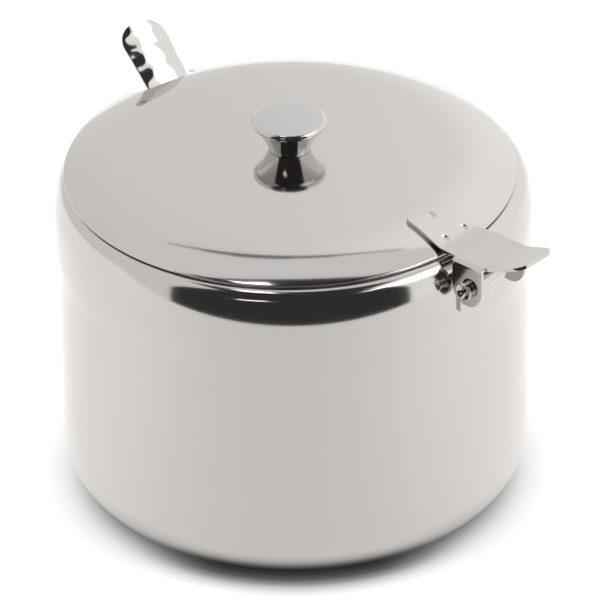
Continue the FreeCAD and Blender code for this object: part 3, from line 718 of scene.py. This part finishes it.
def make_spoon():
    bowl = bmesh.new()
    bmesh.ops.create_uvsphere(bowl, u_segments=128, v_segments=64, radius=1)
    bmesh.ops.scale(bowl, vec=(SPOON_HALF, SPOON_WIDTH, SPOON_DEPTH), verts=bowl.verts)
    bmesh.ops.bisect_plane(bowl, geom=bowl.verts[:] + bowl.edges[:] + bowl.faces[:],
                           dist=1e-6, plane_co=(0, 0, 0), plane_no=(0, 0, 1),
                           clear_outer=True)
    bmesh.ops.recalc_face_normals(bowl, faces=bowl.faces)
    if sum(f.normal.z for f in bowl.faces) > 0:
        bmesh.ops.reverse_faces(bowl, faces=bowl.faces)
    bmesh.ops.solidify(bowl, geom=bowl.faces, thickness=SPOON_SHEET)
    bmesh.ops.translate(bowl, vec=(SPOON_HALF, 0, 0), verts=bowl.verts)
    for vert in bowl.verts:
        vert.co.z = min(vert.co.z, 0)
    close_up(bowl)
    marks = hammer_marks()
    start = 2 * SPOON_HALF - SPOON_SHEET * 0.6
    rows, columns = 420, 52
    handle = bmesh.new()
    bmesh.ops.create_grid(handle, x_segments=rows, y_segments=columns, size=1)
    for vert in handle.verts:
        share = (vert.co.x + 1) / 2
        reach = start + (SPOON_LENGTH - start) * (1 - (1 - share) ** 1.25)
        half = spoon_half(reach)
        vert.co = (reach, vert.co.y * half, SPOON_SHEET)
    if sum(f.normal.z for f in handle.faces) < 0:
        bmesh.ops.reverse_faces(handle, faces=handle.faces)
    bmesh.ops.solidify(handle, geom=handle.faces, thickness=SPOON_SHEET)
    close_up(handle)
    soften(handle, 0.3, 3, 60)
    for vert in handle.verts:
        if vert.co.z > SPOON_SHEET / 2:
            vert.co.z -= (dent_depth(marks, vert.co.x, vert.co.y)
                          + HANDLE_CROWN * vert.co.y ** 2)
        scallop = dent_depth(marks, vert.co.x, math.copysign(7.0, vert.co.y))
        vert.co.y *= 1 - 0.16 * scallop
    add_to(bowl, handle)
    lean_spoon(bowl)
    finish_piece("sugar_spoon", bowl, "spoon", "spoon_steel", "spoon")


def lean_spoon(bm):
    """Leans the spoon across the bowl, its back on the curl of the mouth."""
    across = MOUTH + CURL + TIP_OUT
    up = LIP_TOP - CURL - WALL - TIP_UP
    lean = math.atan2(up, across) + math.asin((CURL + SPOON_GAP) / math.hypot(across, up))
    turn = math.radians(SPOON_BEARING)
    move = Matrix.Translation((-TIP_OUT * math.cos(turn), -TIP_OUT * math.sin(turn),
                               WALL + TIP_UP))
    bmesh.ops.transform(bm, verts=bm.verts, matrix=(
        move @ Matrix.Rotation(turn, 4, "Z") @ Matrix.Rotation(-lean, 4, "Y")))


make_bowl()
make_bracket()
make_lid()
make_lever()
make_pin()
make_knob()
make_spoon()
for node in ("knob_screw", "knob_washer"):
    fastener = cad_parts[node]
    fastener.data.materials.clear()
    fastener.data.materials.append(finishes["fastener_steel"])

# ---------------------------------------------------------------- room and camera

AZIMUTH, ELEVATION, ROLL, LENS = 42.0, 31.39, 0.64, 444.5
DISTANCE = 2.190
towards = Vector((sine(AZIMUTH) * cosine(ELEVATION), -cosine(AZIMUTH) * cosine(ELEVATION),
                  sine(ELEVATION)))
rightwards = Vector((cosine(AZIMUTH), sine(AZIMUTH), 0))
nearwards = Vector((sine(AZIMUTH), -cosine(AZIMUTH), 0))
upwards = towards.cross(rightwards)
aim = Vector((0, 0, LIP_TOP * 0.4946 * MM)) + rightwards * 0.00158 + upwards * 0.00644

camera = bpy.data.objects.new("camera", bpy.data.cameras.new("camera"))
bpy.context.scene.collection.objects.link(camera)
tilt = math.radians(ROLL)
camera_right = rightwards * math.cos(tilt) - upwards * math.sin(tilt)
camera_up = upwards * math.cos(tilt) + rightwards * math.sin(tilt)
camera.matrix_world = (Matrix.Translation(aim + towards * DISTANCE)
                       @ Matrix((camera_right, camera_up, towards)).transposed().to_4x4())
camera.data.lens = LENS
camera.data.sensor_width = 36.0
camera.data.clip_start, camera.data.clip_end = 0.05, 100.0
bpy.context.scene.camera = camera


def glow_material(name, brightness, tint=(1.0, 1.0, 1.0)):
    material, finish = new_material(name)
    glow = finish.node("ShaderNodeEmission", sockets={
        "Color": opaque(*tint), "Strength": brightness})
    finish.node("ShaderNodeOutputMaterial", sockets={"Surface": glow})
    return material


def table_material(name, for_reflection):
    """The white table: an evenly bright glow, with the bowl's soft contact shadow painted into
    its colour.
    """
    material, finish = new_material(name)
    x, y, _ = finish.split(finish.place())
    reach = finish.maths("SQRT", x * x + y * y)
    near = x * nearwards.x + y * nearwards.y
    aside = x * rightwards.x + y * rightwards.y
    bearing = finish.maths("ABSOLUTE", finish.maths("ARCTAN2", aside, near))
    place = finish.node("ShaderNodeMapRange", sockets={
        "Value": reach, "From Min": SHADOW_START * MM, "From Max": SHADOW_STOP * MM})
    # Painted contact shadow: darker and tighter in front of the bowl, lighter and wider at its
    # sides.
    in_front, beside = (finish.node("ShaderNodeValToRGB", {"stops": stops}, {"Fac": place})
                        for stops in (PAINTED_FRONT_SHADOW, PAINTED_SIDE_SHADOW))
    shadow = finish.blend(finish.ease(bearing, 0.35, 0.95), in_front, beside)
    if for_reflection:
        # Painted shade and light for reflections only: the table glows dimmer in front,
        # brighter at the sides and behind, and a little brighter to the right.
        level = finish.ease(bearing, 0.1, 1.5, 0.93, 1.16) + finish.ease(
            bearing, 1.5, 3.1, 0.0, 0.16) + finish.ease(aside, -0.2, 0.2, -0.02, 0.03)
    else:
        level = 1.1
    glow = finish.node("ShaderNodeEmission", sockets={"Color": shadow, "Strength": level})
    finish.node("ShaderNodeOutputMaterial", sockets={"Surface": glow})
    return material


# Where the painted contact shadow starts and ends, in millimetres from the bowl's axis.
SHADOW_START, SHADOW_STOP = 55.0, 80.0


def painted_shadow_stops(*greys):
    """Ramp stops for the painted contact shadow, from (distance from the bowl's axis, grey)
    pairs.
    """
    return [((distance - SHADOW_START) / (SHADOW_STOP - SHADOW_START),
             opaque(grey, grey, grey * 0.99)) for distance, grey in greys]


# The painted contact shadow's greys, in front of the bowl and beside it.
PAINTED_FRONT_SHADOW = painted_shadow_stops((55.0, 0.010), (57.8, 0.024), (60.0, 0.044), (62.2, 0.095),
                       (64.4, 0.245), (66.7, 0.54), (68.9, 0.755), (71.1, 0.90), (74.0, 1.0))
PAINTED_SIDE_SHADOW = painted_shadow_stops((55.0, 0.08), (57.5, 0.13), (59.7, 0.19), (62.1, 0.34), (64.7, 0.53),
                      (67.6, 0.71), (70.6, 0.82), (73.7, 0.885), (80.0, 1.0))


def put_on_stage(name, bm, material):
    """Makes a mesh part of the room round the bowl, not of the bowl."""
    mesh = bpy.data.meshes.new(name)
    bm.to_mesh(mesh)
    bm.free()
    made = bpy.data.objects.new(name, mesh)
    bpy.context.scene.collection.objects.link(made)
    mesh.materials.append(material)
    return made


def card(name, material, corners):
    """A flat card through the given corners."""
    bm = bmesh.new()
    bmesh.ops.contextual_create(bm, geom=[bm.verts.new(c) for c in corners])
    return put_on_stage(name, bm, material)


def hide_from_camera(*cards):
    for made in cards:
        made.visible_camera = False


def room(aside, away, up):
    """A point in the room, from the bowl: metres to the right, away and up."""
    return rightwards * aside - nearwards * away + Vector((0, 0, up))


def overhead(aside, away, height):
    """Where the direction (aside, away, 1) from the lid meets that height."""
    return room(aside * height, away * height, height + 0.1)


def compass(bearing, rise, distance):
    """A point at a bearing from the viewer's side, positive to the right."""
    flat = distance * cosine(rise)
    return room(sine(bearing) * flat, -cosine(bearing) * flat, distance * sine(rise) + 0.1)


def disc(name, material, radius, height, front=None):
    """A level disc, cut off straight at a distance in front if one is given."""
    bm = bmesh.new()
    bmesh.ops.create_circle(bm, cap_ends=True, segments=96, radius=radius)
    if front is not None:
        bmesh.ops.bisect_plane(bm, geom=bm.verts[:] + bm.edges[:] + bm.faces[:],
                               plane_co=nearwards * front, plane_no=nearwards,
                               clear_outer=True)
    bmesh.ops.translate(bm, vec=(0, 0, height), verts=bm.verts)
    return put_on_stage(name, bm, material)


TABLE = -0.0002
# The table the camera sees, with its painted contact shadow.
seen = disc("table", table_material("white table", False), 12.0, TABLE)
seen.visible_glossy = False
# The table as reflections see it, with painted shade that is darker in front.
mirrored = disc("table_glow", table_material("table glow", True), 12.0, TABLE, 0.289)
hide_from_camera(mirrored)

CLOTH_REACH, CLOTH_LEFT, CLOTH_RIGHT = 3.0, 57, 53
CLOTH_LOW, CLOTH_HIGH = -40, 90


def hang_cloth(material):
    """The nearly black cloth behind the viewer, as part of a sphere."""
    bm = bmesh.new()
    points = [(CLOTH_REACH * cosine(r), CLOTH_REACH * sine(r))
              for r in range(CLOTH_LOW, CLOTH_HIGH + 1, 5)]
    geometry = line_of(bm, points)
    start = Matrix.Rotation(math.radians(AZIMUTH - 90 - CLOTH_LEFT), 3, "Z")
    bmesh.ops.rotate(bm, cent=(0, 0, 0), verts=bm.verts, matrix=start)
    bmesh.ops.spin(bm, geom=geometry, axis=(0, 0, 1), cent=(0, 0, 0), dvec=(0, 0, 0),
                   angle=math.radians(CLOTH_LEFT + CLOTH_RIGHT), steps=22)
    bmesh.ops.remove_doubles(bm, verts=bm.verts, dist=1e-5)
    bmesh.ops.translate(bm, vec=(0, 0, 0.1), verts=bm.verts)
    return put_on_stage("dark_side", bm, material)


dark = glow_material("dark cloth", 0.045, (1.0, 0.98, 0.96))
dark_side = hang_cloth(dark)
dark_top = card("dark_top", dark, [overhead(-0.42, 0.15, 2.6), overhead(0.42, 0.15, 2.6),
                                   overhead(0.45, -0.6, 2.6), overhead(-0.42, -0.6, 2.6)])
ceiling = card("ceiling", glow_material("grey ceiling", 0.92), [
    overhead(-0.8, 0.75, 2.8), overhead(-0.33, 0.63, 2.8), overhead(-0.149, 0.529, 2.8),
    overhead(0.0, 0.507, 2.8), overhead(0.6, 0.507, 2.8), overhead(0.6, 0.10, 2.8),
    overhead(-0.8, 0.10, 2.8)])
bar_half = 0.007
bar_line = ((-0.345, 0.632), (-0.231, 0.577), (-0.149, 0.529), (0.0, 0.507),
            (0.113, 0.516), (0.33, 0.510))
bar = card("ceiling_edge", glow_material("ceiling edge", 0.22), [
    overhead(p, q + bar_half, 2.5) for p, q in bar_line] + [
    overhead(p, q - bar_half, 2.5) for p, q in reversed(bar_line)])
lamp = glow_material("lamp", 3.2)
lamp_top = card("lamp_top", lamp, [overhead(-0.23, -0.09, 2.4), overhead(-0.08, -0.09, 2.4),
                                   overhead(-0.08, 0.10, 2.4), overhead(-0.23, 0.10, 2.4)])
lamp_front = card("lamp_front", lamp, [compass(-26, 17, 2.6), compass(-13, 22, 2.6),
                                       compass(-13, 26, 2.6), compass(-26, 22, 2.6)])
window = card("right_softbox", glow_material("right softbox", 2.4), [
    overhead(0.55, -0.75, 2.2), overhead(1.5, -0.75, 2.2),
    overhead(1.5, 0.25, 2.2), overhead(0.55, 0.25, 2.2)])
hide_from_camera(dark_side, dark_top, ceiling, bar, lamp_top, lamp_front, window)

world = bpy.data.worlds.new("pale room")
bpy.context.scene.world = world
world.use_nodes = True
sky = Finish(world.node_tree)
direction = sky.node("ShaderNodeTexCoord", output="Generated")
across = sky.node("ShaderNodeVectorMath", {"operation": "DOT_PRODUCT"},
                  {0: direction, 1: rightwards}, output="Value")
strength = sky.ease(across, -0.1, 0.35, 0.97, 1.22) - sky.ease(across, -0.5, -0.1, 0.05, 0.0)
backdrop = sky.node("ShaderNodeBackground", sockets={
    "Color": opaque(1.0, 0.99, 0.98), "Strength": strength})
sky.node("ShaderNodeOutputWorld", sockets={"Surface": backdrop})

bpy.context.scene.view_settings.view_transform = "Standard"
bpy.context.scene.view_settings.look = "None"
